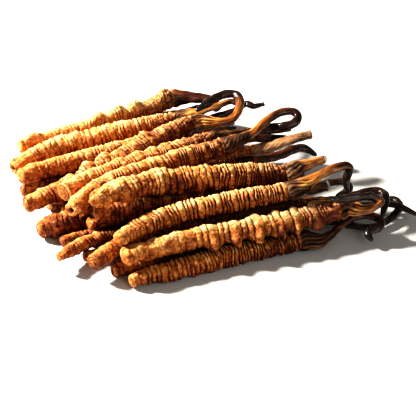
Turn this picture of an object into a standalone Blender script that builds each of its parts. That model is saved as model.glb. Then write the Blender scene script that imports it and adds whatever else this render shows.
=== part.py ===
"""A loose heap of dried cordyceps, lying on a flat surface.

Every specimen has two pieces: the dried, ringed larva, and the dark stalk of the fungus that
grew out of its head. The specimens lie side by side and over each other, tails towards -X and
stalks towards +X. Z is up from the surface, and the origin is under the heap's middle.
Lengths are in millimetres and become metres where the meshes are made.
"""
import math
from dataclasses import dataclass

import bmesh
import bpy
import numpy as np
from mathutils import Vector

MM = 0.001
CLEARANCE = 0.15          # air left between two pieces that touch

# Larva
BODY_SIDES = 7
SEGMENT_PITCH = 4.1       # one body ring and the fold behind it, halfway along
BURIED_PITCH = 6.4        # the same on a specimen that lies under the others
HEADWARD_SHORTENING = 0.2  # how much shorter the rings are near the head than halfway along
FOLD_DEPTH = 0.16         # share of the radius lost in a fold between two rings
TAIL_TAPER = 0.38         # share of the radius lost at the tail
TAIL_TAPER_LENGTH = 0.28  # share of the length over which the tail narrows
HEAD_TAPER = 0.35         # the same at the head
HEAD_TAPER_LENGTH = 0.28
BEND_SHARE = 0.45         # share of the length over which a tail or a head curls sideways
BELLY_FLAT = 0.45         # skin lower than this is pressed flat on the surface
LOBE_RADIUS = 1.1         # round lumps of the shrunken legs
TAIL_CAP = 0.8            # how far the tail's end stands out, in end radii
TAIL_CAP_RING = (0.5, 0.68)  # the ring that rounds the tail: how far out, and how wide
HEAD_CAP = 0.36           # the same for the head's blunt end
HEAD_CAP_RING = (0.3, 0.8)
BEADS = 49                # balls along a body by which it is laid on the others

# Stalk
STALK_SIDES = 5
STALK_STEP = 3.5          # distance between two rings of a stalk
STALK_SPACING = 0.5       # distance between the balls by which a stalk is draped
STALK_FLATNESS = 0.8      # thickness over width
STALK_ROOT = 1.2          # straight run out of the head
ROOT_BULGE = 0.1          # how far the root's end stands out, in millimetres
TIP_BULGE = 0.6           # the same for the tip, in tip radii
ROUNDING_ROUNDS = 6       # how often a stalk's curve is smoothed before it is draped
DRAPING_ROUNDS = 40       # how often it is lifted clear and smoothed
CURVE_STEPS = 24          # points between two route points, before the curve is evenly spaced
BEND_WEIGHT = 2.2         # extra rings in a bend, as millimetres to a radian
CROWDING = 0.9            # the most that a bend may close the inner side of two rings, as a share
FLARE_LENGTH = 7.0        # the stalk narrows over this length from the head's width
TIP_TAPER = 0.45
TIP_TAPER_LENGTH = 4.0

LARVA_COLOUR = (0.52, 0.26, 0.075)
LARVA_ROUGHNESS = 0.62
STALK_COLOUR = (0.075, 0.032, 0.018)
STALK_ROUGHNESS = 0.35


@dataclass
class Specimen:
    """One larva with its stalk, as it lies in plan."""
    x: float                  # the middle of the body
    y: float
    heading: float            # degrees from +X towards +Y
    length: float
    girth: float
    bends: tuple = (0, 0)     # degrees that the tail's end and the head's end turn
    route: tuple = ()         # the stalk's points, as steps (+X, +Y, up) from the head
    stalk: float = 1.8        # the stalk's width
    lobes: tuple = ()         # (degrees from the top towards the right, height, first, last ring)
    pitch: float = SEGMENT_PITCH
    tail: float = TAIL_TAPER
    head: float = HEAD_TAPER


# In the order in which they lie: the lowest ones first.
SPECIMENS = [
    # on the surface, from the front edge to the back
    Specimen(-4, -5, 0, 42, 4.6, pitch=BURIED_PITCH, stalk=2.0,
             route=((5.5, -0.7, -0.4), (9.6, -2.9, -0.9), (13, -5.4, -1), (15.4, -8.1, -1),
                    (18.2, -10.1, -0.9), (21.7, -9.7, -0.8), (25, -8.6, -0.5), (27.8, -6.9, 0),
                    (28.3, -4.3, 0.6), (26.4, -3, 0.7))),
    Specimen(-3.5, -11.5, -3, 40, 4.6, (-3, -7), head=0.12, stalk=2.0,
             route=((3.2, -1.8, 0), (6.8, -1.6, 0.3), (9.9, -0.3, 0.8), (12.3, 0.5, 1.5), (14.4, 0.5, 2.1),
                    (17.1, -0.4, 2.4), (18.8, -2.4, 2.5), (18.9, -4.7, 2.3), (17.1, -5.9, 1.9),
                    (15.3, -5, 1.4), (14.2, -5.9, 0.9), (14.6, -7, 0.3))),
    Specimen(-11, 1.5, -6, 36, 3.4, pitch=BURIED_PITCH, stalk=1.6,
             route=((5.3, -1.3, -0.2), (10.7, -1.6, 0.3), (15.1, -3.2, 1.9), (19.7, -5.1, 1.9),
                    (24.5, -6.7, 1.7), (29.1, -8.5, 1.7), (33.8, -10.7, 2.4), (36.4, -13.5, 2.3),
                    (37.7, -15.2, 1.9), (38.7, -16.8, 1.3))),
    Specimen(-18, 6.5, -2, 36, 3.4, (34, 0), pitch=BURIED_PITCH, stalk=1.4,
             route=((5, 0.5, 0), (11, -0.5, -0.1), (16, 1, 0))),
    Specimen(-13, 11.5, -1, 36, 3.0, pitch=BURIED_PITCH, stalk=1.4,
             route=((5, -0.5, 0), (10, 0.5, 0), (14, -0.5, 0))),
    Specimen(-13, 16.5, -1, 42, 5.6, stalk=2.0, lobes=((-20, 0.7, 0, 2),),
             route=((6, -0.5, -0.8), (13, 0.5, -1.2), (20, -1.5, -1.2))),
    Specimen(-6, 22.5, 1, 40, 4.4, pitch=BURIED_PITCH, stalk=1.9,
             route=((6, -1, -0.5), (12, -1, 0.4), (17, -2, 1.4))),
    Specimen(-8, 28, 2, 40, 4.4, pitch=BURIED_PITCH, stalk=1.7,
             route=((5, 0.5, -0.4), (11, -1, -0.8), (17, 0.5, -1))),
    Specimen(-12.5, 36, 0, 38, 3.8, pitch=BURIED_PITCH, stalk=1.6,
             route=((5, 0.5, -0.3), (10, 2, -0.6), (15, 2.5, -0.8))),
    Specimen(-9, 32, 0, 38, 4.0, pitch=BURIED_PITCH, stalk=2.6,
             route=((2.3, -0.7, 0.4), (7, -2.5, 1), (12.9, -4.6, 1.4), (17.8, -7.1, 1.4), (21.6, -9.6, 1.4),
                    (24.1, -10.2, 1.2))),
    Specimen(-7, 41.5, 3, 40, 4.6, pitch=BURIED_PITCH, stalk=2.4,
             route=((3, -1, 0.3), (6.6, -2.4, 0.7), (10.2, -3.9, 1.1), (13.8, -4.9, 1.3))),
    Specimen(-6, 47, 3, 42, 4.6, pitch=BURIED_PITCH, stalk=2.4,
             route=((3.4, -1.7, 0.3), (6.7, -3.8, 0.5), (10, -5.9, 0.7), (13.1, -6.9, 0.7))),
    Specimen(-4, 52, 4, 40, 4.6, pitch=BURIED_PITCH, stalk=1.6,
             route=((5, 1, -0.5), (9, 3, -1), (13, 3, -1.2))),
    # second layer
    Specimen(-4, 9.5, 0, 42, 4.6, stalk=2.2,
             route=((3.2, -1.5, 0.2), (5.7, -3.8, 0.2), (9, -6.7, 0.3), (13.1, -8.1, 0.5),
                    (17.1, -8.4, 0.7), (20.2, -8.9, 0.4), (20.5, -10.7, -0.4), (19, -11.4, -1.3),
                    (17, -11, -1.8))),
    Specimen(3, 20.5, 4, 40, 4.5, stalk=2.8,
             route=((2.9, -1.1, 0.4), (5.9, -1.9, 1.3), (8.8, -2.7, 2.1), (12, -3.5, 2.8),
                    (14.1, -4.2, 3.2))),
    Specimen(-5, 14.5, 1, 40, 4.4, pitch=BURIED_PITCH, stalk=2.6,
             route=((5.6, 0, -0.2), (9.3, -0.3, -0.5), (13.1, -0.1, -0.6), (16.1, 0.7, -0.4),
                    (18.7, 0.8, -0.4), (20.3, -0.4, -0.8), (20.9, -1.9, -1.6))),
    Specimen(-10.5, 36, 0, 42, 4.7, stalk=2.0,
             route=((3.3, 1.2, 0.1), (7.5, 2.2, 0), (11.8, 2.2, 0.1), (15.5, 1.5, 0.7), (18.3, 2.4, 1.9),
                    (19.9, 3.4, 2.9), (21.1, 2.9, 2.7), (21.2, 1.3, 1.7), (22.5, 1, 1.7),
                    (24.1, 1.1, 2.1))),
    Specimen(-10, 43, -6, 43, 5.4, (26, 4), stalk=1.8, lobes=((-35, 0.3, 2, 5),),
             route=((3.4, -1, 0.8), (6.3, -2.1, 1.6), (10.1, -3.1, 2.6), (14, -2.8, 3), (15.8, -3.8, 3),
                    (15.7, -5.6, 2.9), (13.9, -7.3, 2.7), (11.7, -7.1, 2.3), (8.2, -6.2, 1.7),
                    (5.7, -5, 1))),
    Specimen(-5.2, 49.9, 7.5, 43.5, 4.6, (-7, 5), pitch=5.2, head=0.05, stalk=2.9,
             lobes=((5, 0.7, 0, 0), (5, 1.3, 3, 5), (5, 1.0, 7, 7)),
             route=((2.6, -1, 0.5), (7.3, -5.2, 1.2), (8.7, -7, 0.8), (9, -9.2, 0))),
    Specimen(-4, -0.5, -11, 53, 4.5, (42, -7), pitch=4.8, stalk=2.0,
             route=((3.2, -0.3, -0.6), (8.2, -0.1, -1.3), (12.7, 0.1, -1.6), (15.5, 0.2, -1.6),
                    (17.9, 0, -1.5), (19.6, -1.3, -1.4), (19.6, -3.6, -1.5), (17.2, -6.9, -1.7),
                    (15.8, -8.3, -2.7))),
    Specimen(2, -9, -10, 50.5, 4.7, (12, 5), pitch=5.0, head=0.1, stalk=2.0,
             lobes=((112, 1.0, 3, 8), (-25, 0.4, 5, 8)),
             route=((3.2, -1.4, -0.2), (4.4, -2.9, 0.2), (5.7, -3.8, 0.6), (7.4, -4.3, 1.2), (9.1, -4, 2),
                    (8.8, -2.8, 2.8), (6.5, -2.1, 3.3), (3.3, -1.7, 3.5), (0.3, -0.9, 3.5),
                    (-1.5, -0.4, 3.4))),
    # third layer
    Specimen(-3.5, 7, -1, 42, 4.2, stalk=3.0,
             route=((3.1, -2, 0), (4.4, -6.5, -0.1), (6.7, -9, -0.2), (9.2, -9.8, -0.2),
                    (11.8, -9.9, -0.3))),
    Specimen(-11, 28.5, 16, 48.5, 5.2, (-16, -9), pitch=4.5, stalk=2.2,
             lobes=((-30, 0.9, 3, 4), (-30, 0.9, 7, 7), (100, 0.5, 1, 4)),
             route=((3.3, -1.5, 0), (5.9, -3.5, 0.2), (8.6, -4.3, 0.6), (10.8, -3.4, 1.5), (12.9, -1, 2.5),
                    (14, 1.6, 3.3), (12.9, 3.9, 3.5), (9.7, 4.4, 3), (6.3, 3.7, 2.3), (2.9, 2.7, 1.6))),
    Specimen(-8, 20.5, 7, 42, 4.8, (14, 4), tail=0.2, stalk=2.2, lobes=((-30, 0.5, 3, 6),),
             route=((5, 0.4, -0.2), (9.6, 0.1, -0.7), (14.3, -0.2, -1.3), (17.9, -0.7, -1.8),
                    (21.3, -1.4, -2.2))),
    Specimen(-3, 5.5, -8, 46.5, 5.6, (27, -11), pitch=4.4, head=0.2, stalk=2.5, lobes=((120, 0.5, 3, 7),),
             route=((4.3, 0.9, 0.1), (6.9, 0.7, 0.3), (9.9, 1.1, 0.5), (11.3, 0.7, 0.6))),
    Specimen(-3.5, -2.5, -9, 41, 4.8, (32, -3), head=0.15, stalk=2.2,
             route=((3.7, -0.5, 0.5), (6.6, -0.1, 1.2), (9.6, 0.1, 2), (12.5, 0.1, 2.7), (15.3, 0.3, 3),
                    (17.4, 0.2, 2.5), (17, 0.1, 0.8), (16.2, 0.2, -1.5), (15.8, -1.4, -3.5))),
    Specimen(-9.5, 15, 6, 43, 5.2, (31, -4), head=0.2, stalk=2.2, lobes=((20, 0.4, 7, 9),),
             route=((8.9, 0.9, 0.9), (13, 2.4, 2.3), (16.6, 3, 3.5), (19.6, 2.8, 4.1), (21.3, 1.9, 3.7),
                    (21.3, -0.1, 2.7), (19.2, -0.9, 1.7), (16.5, 0.3, 1.1), (14.7, 2.9, 0.7))),
]


# Laying the specimens

def plan_axis(specimen):
    """Points along the body in plan, from tail to head, curled at either end."""
    share = np.linspace(0, 1, BEADS)
    turn = specimen.bends[0] * np.clip(1 - share / BEND_SHARE, 0, 1)
    turn += specimen.bends[1] * np.clip(1 - (1 - share) / BEND_SHARE, 0, 1)
    angle = np.radians(specimen.heading + turn)
    step = specimen.length / (BEADS - 1)
    between = (angle[1:] + angle[:-1]) / 2
    x = np.concatenate([[0], np.cumsum(np.cos(between) * step)])
    y = np.concatenate([[0], np.cumsum(np.sin(between) * step)])
    middle = BEADS // 2
    return share, x - x[middle] + specimen.x, y - y[middle] + specimen.y


def body_radius(share, specimen):
    tail = specimen.tail * np.clip(1 - share / TAIL_TAPER_LENGTH, 0, 1) ** 2
    head = specimen.head * np.clip(1 - (1 - share) / HEAD_TAPER_LENGTH, 0, 1) ** 2
    return specimen.girth / 2 * (1 - tail - head)


def rest_heights(x, y, radius, laid):
    """The lowest height of each ball's centre that clears the surface and the pieces laid so far."""
    flat_side = math.cos(math.pi / BODY_SIDES)
    height = radius * flat_side
    if len(laid):
        reach = radius[:, None] + laid[None, :, 3] + CLEARANCE
        gap = reach ** 2 - (x[:, None] - laid[None, :, 0]) ** 2 - (y[:, None] - laid[None, :, 1]) ** 2
        over = np.where(gap > 0, laid[None, :, 2] + np.sqrt(np.clip(gap, 0, None)), 0)
        height = np.maximum(height, over.max(axis=1))
    return height


def rest_line(share, lowest):
    """A stiff body comes to rest on two points, one either side of its middle."""
    before = np.where(share <= 0.5)[0]
    after = np.where(share > 0.5)[0]
    rise = lowest[after][None, :] - lowest[before][:, None]
    slope = rise / (share[after][None, :] - share[before][:, None])
    at_middle = lowest[before][:, None] + slope * (0.5 - share[before][:, None])
    best = np.unravel_index(np.argmax(at_middle), at_middle.shape)
    return at_middle[best] + slope[best] * (share - 0.5)


def ring_shares(specimen):
    """Where the folds and crests lie, as shares of the length: fold, crest, fold and so on."""
    segments = round(specimen.length / specimen.pitch)
    even = np.linspace(0, 1, 2 * segments + 1)
    return even * (1 + HEADWARD_SHORTENING * (1 - even))


def side_vectors(axis):
    """Unit vectors along, to the left of and above each point of a level curve."""
    along = np.gradient(axis, axis=0)
    along /= np.linalg.norm(along, axis=1)[:, None]
    left = np.cross([0, 0, 1], along)
    left /= np.linalg.norm(left, axis=1)[:, None]
    return along, left, np.cross(along, left)


def carried_vectors(axis):
    """The same for a curve that may turn any way: the left side is carried along without a twist."""
    along, left, _ = side_vectors(axis)
    for k in range(1, len(axis)):
        left[k] = left[k - 1] - along[k] * (left[k - 1] @ along[k])
        left[k] /= np.linalg.norm(left[k])
    return along, left, np.cross(along, left)


def lobe_balls(specimen, share, axis, radius):
    """Small balls that stand for the lobes while the specimen is laid."""
    along, left, above = side_vectors(axis)
    balls = []
    for degrees, height, first, last in specimen.lobes:
        angle = math.radians(degrees)
        for place in ring_shares(specimen)[1::2][first:last + 1]:
            nearest = int(round(place * (BEADS - 1)))
            outward = above[nearest] * math.cos(angle) - left[nearest] * math.sin(angle)
            reach = radius[nearest] + height - LOBE_RADIUS
            balls.append([*(axis[nearest] + outward * reach), LOBE_RADIUS])
    return np.array(balls).reshape(-1, 4)


def lay_body(specimen, laid):
    """Lower the body onto what lies there. Gives its axis, its radii and its balls."""
    share, x, y = plan_axis(specimen)
    radius = body_radius(share, specimen)
    level = np.stack([x, y, np.zeros(BEADS)], axis=1)
    lowest = rest_heights(x, y, radius, laid)
    lobes = lobe_balls(specimen, share, level, radius)
    if len(lobes):
        under = rest_heights(lobes[:, 0], lobes[:, 1], lobes[:, 3], laid) - lobes[:, 2]
        for lobe, height in zip(lobes, under):
            nearest = np.argmin((x - lobe[0]) ** 2 + (y - lobe[1]) ** 2)
            lowest[nearest] = max(lowest[nearest], height)
    height = rest_line(share, lowest)
    axis = np.stack([x, y, height], axis=1)
    balls = np.concatenate([np.column_stack([axis, radius]), lobe_balls(specimen, share, axis, radius)])
    return axis, radius, balls


def smooth_curve(points):
    """A Catmull-Rom curve through the points, at even steps of STALK_SPACING."""
    points = np.asarray(points, dtype=float)
    ends = np.vstack([2 * points[0] - points[1], points, 2 * points[-1] - points[-2]])
    fine = []
    for a, b, c, d in zip(ends, ends[1:], ends[2:], ends[3:]):
        for t in np.linspace(0, 1, CURVE_STEPS, endpoint=False):
            fine.append(0.5 * (2 * b + (c - a) * t + (2 * a - 5 * b + 4 * c - d) * t ** 2
                               + (3 * b - a - 3 * c + d) * t ** 3))
    fine.append(points[-1])
    fine = np.array(fine)
    run = np.concatenate([[0], np.cumsum(np.linalg.norm(np.diff(fine, axis=0), axis=1))])
    even = np.linspace(0, run[-1], int(run[-1] / STALK_SPACING) + 1)
    return np.stack([np.interp(even, run, fine[:, k]) for k in range(3)], axis=1)


def stalk_radius(run, specimen, root):
    """Flared where it leaves the head, tapered at the tip."""
    flare = (root - specimen.stalk / 2) * np.clip(1 - run / FLARE_LENGTH, 0, 1)
    tip = TIP_TAPER * np.clip(1 - (run[-1] - run) / TIP_TAPER_LENGTH, 0, 1) ** 2
    return (specimen.stalk / 2 + flare) * (1 - tip)


def drape_stalk(specimen, axis, radius, laid):
    """The stalk follows its route out of the head and rises over whatever lies in its way."""
    forward = axis[-1] - axis[-3]
    forward /= np.linalg.norm(forward)
    head = axis[-1] + forward * (radius[-1] * HEAD_CAP + CLEARANCE)
    root = [head, head + forward * STALK_ROOT]
    curve = smooth_curve(root + [axis[-1] + np.array(step) for step in specimen.route])
    for _ in range(ROUNDING_ROUNDS):
        curve[1:-1] = (curve[:-2] + 2 * curve[1:-1] + curve[2:]) / 4
    run = np.arange(len(curve)) * STALK_SPACING
    girth = stalk_radius(run, specimen, radius[-1])
    lowest = rest_heights(curve[:, 0], curve[:, 1], girth, laid)
    fixed = int(STALK_ROOT / STALK_SPACING) + 1
    height = curve[:, 2].copy()
    for _ in range(DRAPING_ROUNDS):
        height[fixed:] = np.maximum(height, lowest)[fixed:]
        height[fixed:-1] = (height[fixed - 1:-2] + 2 * height[fixed:-1] + height[fixed + 1:]) / 4
    height[fixed:] = np.maximum(height, lowest)[fixed:]
    curve[:, 2] = height
    return curve, girth


# Solids

def ring(centre, left, above, radius, sides, turn=0.0, flatness=1.0):
    points = []
    for k in range(sides):
        angle = turn + 2 * math.pi * k / sides
        points.append(centre - left * radius * math.sin(angle) + above * radius * flatness * math.cos(angle))
    return points


def skin(name, rings, first_pole, last_pole, colour, roughness, shift):
    """One closed solid over a row of rings, with a pole at either end, moved by shift."""
    sides = len(rings[0])
    points = [first_pole] + [point for loop in rings for point in loop] + [last_pole]
    faces = []
    last = len(points) - 1
    for k in range(sides):
        after = (k + 1) % sides
        faces.append((0, 1 + k, 1 + after))
        faces.append((last, last - sides + after, last - sides + k))
        for row in range(len(rings) - 1):
            a = 1 + row * sides + k
            b = 1 + row * sides + after
            faces.append((a, a + sides, b))
            faces.append((b, a + sides, b + sides))
    mesh = bpy.data.meshes.new(name)
    mesh.from_pydata([Vector((point + shift) * MM) for point in points], [], faces)
    edit = bmesh.new()
    edit.from_mesh(mesh)
    bmesh.ops.recalc_face_normals(edit, faces=edit.faces)
    edit.to_mesh(mesh)
    edit.free()
    mesh.shade_smooth()
    body = bpy.data.objects.new(name, mesh)
    bpy.context.scene.collection.objects.link(body)
    mesh.materials.append(material(name, colour, roughness))
    return body


def material(name, colour, roughness):
    made = bpy.data.materials.new(name)
    made.use_nodes = True
    shader = made.node_tree.nodes["Principled BSDF"]
    shader.inputs["Base Color"].default_value = (*colour, 1)
    shader.inputs["Roughness"].default_value = roughness
    shader.inputs["Metallic"].default_value = 0.0
    return made


def ring_points(specimen, axis, radius):
    """Rings of a larva: folds and crests by turns, with the lobes on the crests."""
    shares = ring_shares(specimen)
    beads = np.linspace(0, 1, BEADS)
    centres = np.stack([np.interp(shares, beads, axis[:, k]) for k in range(3)], axis=1)
    radii = np.interp(shares, beads, radius)
    along, left, above = side_vectors(centres)
    turn = math.radians(specimen.lobes[0][0]) if specimen.lobes else 0.0
    rings = []
    for k in range(len(shares)):
        is_fold = k % 2 == 0
        reach = radii[k] * (1 - FOLD_DEPTH if is_fold else 1)
        loop = ring(centres[k], left[k], above[k], reach, BODY_SIDES, turn)
        if not is_fold:
            add_lobes(specimen, k // 2, loop, centres[k], left[k], above[k], radii[k])
        rings.append(loop)
    return rings, centres, radii, along, left, above, turn


def add_lobes(specimen, segment, loop, centre, left, above, radius):
    for degrees, height, first, last in specimen.lobes:
        if not first <= segment <= last:
            continue
        angle = math.radians(degrees)
        outward = above * math.cos(angle) - left * math.sin(angle)
        nearest = max(range(BODY_SIDES), key=lambda k: float((loop[k] - centre) @ outward))
        loop[nearest] = centre + (loop[nearest] - centre) / radius * (radius + height)


def larva(specimen, axis, radius):
    """Rings and poles of a larva, its belly pressed flat where it lies on the surface."""
    rings, centres, radii, along, left, above, turn = ring_points(specimen, axis, radius)
    out, width = TAIL_CAP_RING
    centre = centres[0] - along[0] * radii[0] * out
    rings.insert(0, ring(centre, left[0], above[0], radii[0] * width, BODY_SIDES, turn))
    out, width = HEAD_CAP_RING
    centre = centres[-1] + along[-1] * radii[-1] * out
    rings.append(ring(centre, left[-1], above[-1], radii[-1] * width, BODY_SIDES, turn))
    for loop in rings:
        for point in loop:
            if point[2] < BELLY_FLAT:
                point[2] = 0.0
    first_pole = centres[0] - along[0] * radii[0] * TAIL_CAP
    last_pole = centres[-1] + along[-1] * radii[-1] * HEAD_CAP
    return rings, first_pole, last_pole


def stalk(curve, girth):
    """Rings and poles of a stalk."""
    along, left, above = carried_vectors(curve)
    turning = np.arccos(np.clip((along[1:] * along[:-1]).sum(axis=1), -1, 1))
    effort = np.concatenate([[0], np.cumsum(STALK_SPACING + BEND_WEIGHT * turning)])
    wanted = np.linspace(0, effort[-1], int(effort[-1] / STALK_STEP) + 2)
    picks = [0]
    for k in np.interp(wanted[1:], effort, np.arange(len(curve))).round().astype(int):
        turned = math.acos(min(1.0, along[k] @ along[picks[-1]]))
        if turned * girth[k] < CROWDING * np.linalg.norm(curve[k] - curve[picks[-1]]):
            picks.append(k)
    rings = [ring(curve[k], left[k], above[k], girth[k], STALK_SIDES, math.pi, STALK_FLATNESS) for k in picks]
    first_pole = curve[0] - along[0] * ROOT_BULGE
    last_pole = curve[-1] + along[-1] * girth[-1] * TIP_BULGE
    return rings, first_pole, last_pole


def heap():
    """Every piece as (name, rings, first pole, last pole), the specimens laid one after another."""
    laid = np.empty((0, 4))
    pieces = []
    for number, specimen in enumerate(SPECIMENS, start=1):
        axis, radius, balls = lay_body(specimen, laid)
        curve, girth = drape_stalk(specimen, axis, radius, laid)
        laid = np.vstack([laid, balls, np.column_stack([curve, girth])])
        pieces.append((f"larva_{number:02d}", *larva(specimen, axis, radius)))
        pieces.append((f"stalk_{number:02d}", *stalk(curve, girth)))
    return pieces


def centring(pieces):
    """What brings the heap's middle over the origin."""
    points = np.array([point for _, rings, *poles in pieces for point in sum(rings, poles)])
    middle = (points.min(axis=0) + points.max(axis=0)) / 2
    return np.array([-middle[0], -middle[1], 0.0])


def clear_scene():
    for old in list(bpy.data.objects):
        bpy.data.objects.remove(old, do_unlink=True)


def main():
    clear_scene()
    pieces = heap()
    shift = centring(pieces)
    for name, rings, first_pole, last_pole in pieces:
        if name.startswith("larva"):
            skin(name, rings, first_pole, last_pole, LARVA_COLOUR, LARVA_ROUGHNESS, shift)
        else:
            skin(name, rings, first_pole, last_pole, STALK_COLOUR, STALK_ROUGHNESS, shift)


main()
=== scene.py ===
"""Looks of a heap of dried cordyceps: wrinkled larvae with twisted stalks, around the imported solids.

Each larva's and stalk's solid is read back as rings of points, which give the axis, the girth
and the lobes. The skins laid over them add the folds, lumps, wrinkles and ends. Millimetres
are used until a mesh is made.
"""

import math
from dataclasses import dataclass

import bpy
import numpy as np
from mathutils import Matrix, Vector


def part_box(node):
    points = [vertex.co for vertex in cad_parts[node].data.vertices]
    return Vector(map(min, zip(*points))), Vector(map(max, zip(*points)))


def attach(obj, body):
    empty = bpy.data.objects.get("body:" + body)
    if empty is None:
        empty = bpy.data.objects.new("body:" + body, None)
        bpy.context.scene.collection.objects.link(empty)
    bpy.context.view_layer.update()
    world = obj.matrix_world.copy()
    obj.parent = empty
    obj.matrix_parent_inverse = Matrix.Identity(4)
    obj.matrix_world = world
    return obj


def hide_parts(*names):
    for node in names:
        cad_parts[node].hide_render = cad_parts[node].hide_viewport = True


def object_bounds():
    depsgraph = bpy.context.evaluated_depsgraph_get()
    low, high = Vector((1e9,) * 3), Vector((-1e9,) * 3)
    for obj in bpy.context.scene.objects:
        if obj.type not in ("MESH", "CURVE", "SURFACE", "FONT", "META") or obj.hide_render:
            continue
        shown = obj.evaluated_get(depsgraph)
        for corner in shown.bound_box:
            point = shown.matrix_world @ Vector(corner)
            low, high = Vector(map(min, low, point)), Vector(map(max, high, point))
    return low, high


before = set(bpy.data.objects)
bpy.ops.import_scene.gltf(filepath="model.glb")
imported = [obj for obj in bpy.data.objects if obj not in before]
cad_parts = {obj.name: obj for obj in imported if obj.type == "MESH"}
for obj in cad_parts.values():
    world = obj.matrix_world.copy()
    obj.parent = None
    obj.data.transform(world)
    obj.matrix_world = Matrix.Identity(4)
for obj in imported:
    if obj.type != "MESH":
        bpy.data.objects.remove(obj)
cad_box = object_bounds()

MM = 0.001
TURN = 2 * math.pi
UP = (0.0, 0.0, 1.0)

# The solids
LARVA_SIDES = 7
STALK_SIDES = 5
FOLD_SHARE = 0.84         # their folds are this much of the crests
PITCH = 4.1               # one body ring with the narrow folds behind it
LONGEST_PITCH = 5.4       # a body whose rings are longer than this gets rings of PITCH instead
TIP_TAPER = 0.45          # how the stalks narrow at their tips
TIP_TAPER_LENGTH = 4.0

# How dense the skins are, where they are seen and where they aren't.
# Larva: points around, rows to a wide fold, rows to a narrow one, rows at the tail, rows at the head
FINE_LARVA = (80, 8, 5, 16, 9)
PLAIN_LARVA = (44, 5, 3, 9, 6)
# Stalk: points around, distance between rows, rows at the tip
FINE_STALK = (52, 0.32, 10)
PLAIN_STALK = (20, 0.6, 5)

# Larva skin
CEILING = cad_box[1][2] / MM - 0.1  # skin above this is pressed down
CEILING_GIVE = 0.3        # the most that it may stand above it
SHORTENING = 0.2          # how much shorter the rings are near the head than halfway along
OVERRUN = 0.2             # the folds go this far past both ends
EXTRA_FOLD_FROM = 0.72    # share of the length where the narrow folds become one more
WIDE_DEPTH = 0.54         # of the creases beside a wide ring
NARROW_DEPTH = 0.48       # of those beside a narrow fold
NARROW_RISE = 0.02        # how much higher a narrow fold is
LEG_ANGLE = math.radians(118)  # from the top
LEG_HEIGHT = 0.35
LEAST_LOBE = 0.1          # a solid's corner that stands out by less than this is no lobe
CAP_NOISE_FROM = 60       # the ends' noise starts this far along, past the body's own

# Stalk skin
ROOT_BURIED = 0.9         # how far the root reaches back into the head
ROOT_LENGTH = 8.5         # how far the frayed root goes
CUT_FACES = np.array([-0.31, -0.77, 0.56])  # where a cut end looks
CUT_ONSET = 0.34          # distance, in end radii, over which the cut's slant sets in

# Shade between neighbours
BEAD_STEP = 0.6           # distance between the balls that stand for a specimen
SHADE_REACH = 1.7         # a gap this wide gives no shade
SHADE_STRIDE = 4          # it is worked out for every fourth row and point

# Camera: looks along +Y turned 27 degrees towards +X, and down
TARGET = (-4.97, -18.14, 8.0)
CAMERA_TURN = 27.0
CAMERA_DOWN = 32.5
CAMERA_DISTANCE = 300.0
CAMERA_LENS = 114.23

LIGHTS_AIM = (0, 0, 0.01)
FLOOR_HALF = 3.0
FLOOR_DROP = 0.00002      # keeps the floor clear of the skins' flat undersides


# Hashed value noise

def lattice(ix, iy, iz, seed):
    """A number from 0 to 1 for each lattice point."""
    h = (ix * 374761393 + iy * 668265263 + iz * 2147483647 + seed * 144665) & 0xFFFFFFFF
    h = ((h ^ (h >> 13)) * 1274126177) & 0xFFFFFFFF
    h = ((h ^ (h >> 16)) * 2246822519) & 0xFFFFFFFF
    return ((h ^ (h >> 13)) & 0xFFFFFF) / float(0xFFFFFF)


def noise(points, scale, seed):
    """Smooth noise from 0 to 1 at points, whose features are about scale wide."""
    p = np.asarray(points, dtype=float) / scale + 1000.0
    i = np.floor(p).astype(np.int64)
    f = p - i
    f = f * f * f * (f * (6 * f - 15) + 10)
    total = 0.0
    for dx in (0, 1):
        wx = f[..., 0] if dx else 1 - f[..., 0]
        for dy in (0, 1):
            wy = f[..., 1] if dy else 1 - f[..., 1]
            for dz in (0, 1):
                wz = f[..., 2] if dz else 1 - f[..., 2]
                corner = lattice(i[..., 0] + dx, i[..., 1] + dy, i[..., 2] + dz, seed)
                total = total + wx * wy * wz * corner
    return total


def swell(points, scale, seed):
    """The same from -1 to 1."""
    return 2 * noise(points, scale, seed) - 1


def grains(points, scale, seed):
    """Round grains with sharp valleys between them, 0 to 1."""
    first = np.abs(swell(points, scale, seed))
    second = np.abs(swell(points, scale * 0.6, seed + 7))
    return np.clip(1.35 * np.minimum(first, second * 1.4 + 0.1) ** 0.6, 0, 1)


# Curves and angles

def along_rows(values, knots, at):
    """Catmull-Rom through the rows of values at the knots."""
    padded = np.concatenate([2 * values[:1] - values[1:2], values, 2 * values[-1:] - values[-2:-1]])
    k = np.clip(np.searchsorted(knots, at, side="right") - 1, 0, len(knots) - 2)
    t = (at - knots[k]) / (knots[k + 1] - knots[k])
    t = t.reshape(t.shape + (1,) * (values.ndim - 1))
    a, b, c, d = padded[k], padded[k + 1], padded[k + 2], padded[k + 3]
    square = (2 * a - 5 * b + 4 * c - d) * t ** 2
    cube = (3 * b - a - 3 * c + d) * t ** 3
    return 0.5 * (2 * b + (c - a) * t + square + cube)


def around(angles, radii, at):
    """Catmull-Rom through radii at angles, round and round."""
    order = np.argsort(angles)
    knots = np.concatenate([angles[order] - TURN, angles[order], angles[order] + TURN])
    return along_rows(np.tile(radii[order], 3), knots, at)


def wrap(angles):
    """The same angles from minus half a turn to half a turn."""
    return (angles + math.pi) % TURN - math.pi


def unit(vectors):
    return vectors / np.linalg.norm(vectors, axis=-1)[..., None]


def run_of(points):
    """The distance run along a line at each of its points."""
    return np.concatenate([[0], np.cumsum(np.linalg.norm(np.diff(points, axis=0), axis=1))])


def coordinates(x, y, z):
    """Points from three values or arrays that broadcast to one shape."""
    return np.stack(np.broadcast_arrays(x, y, z), axis=-1)


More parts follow.
